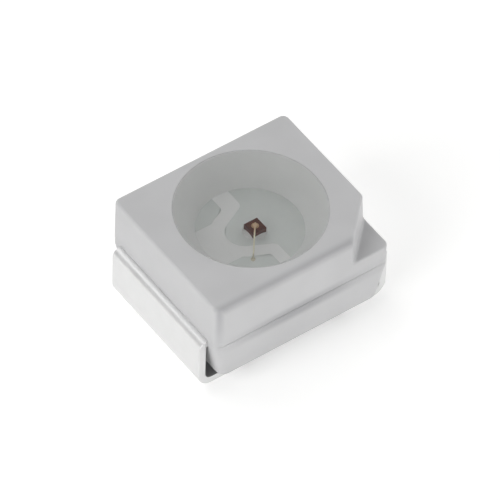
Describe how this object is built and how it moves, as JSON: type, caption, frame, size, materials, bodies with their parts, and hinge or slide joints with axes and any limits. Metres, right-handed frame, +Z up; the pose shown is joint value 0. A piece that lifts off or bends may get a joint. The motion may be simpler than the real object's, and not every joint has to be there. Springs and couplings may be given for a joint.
{
  "type": "surface-mount light-emitting diode",
  "caption": "Top-emitting diode: a chip under clear resin in a white moulded cup, on a lead frame folded under the body for soldering.",
  "frame": {"origin": "middle of the footprint on the board, at the height of the undersides of the feet", "axes": "+X along the length, towards the cathode with the cut corner; +Y across the width, with the cut corner on the -Y side; +Z up, the way the light leaves"},
  "size_m": [0.0036, 0.0028, 0.0019],
  "materials": {
    "white_moulding": "white glass-filled polyamide with a fine spark-eroded mould finish",
    "silver_plated_strip": "satin silver plating on copper strip",
    "silver_adhesive": "cured silver-filled adhesive",
    "semiconductor": "polished dark red-brown crystal with sawn sides",
    "gold": "bright gold",
    "clear_resin": "clear cast resin with a smooth, slightly hollow surface"
  },
  "bodies": {
    "root": {"housing": "white_moulding", "cathode_lead": "silver_plated_strip", "anode_lead": "silver_plated_strip", "die_attach": "silver_adhesive", "die": "semiconductor", "die_bond_pad": "gold", "bond_wire": "gold", "encapsulant": "clear_resin"}
  },
  "joints": []
}
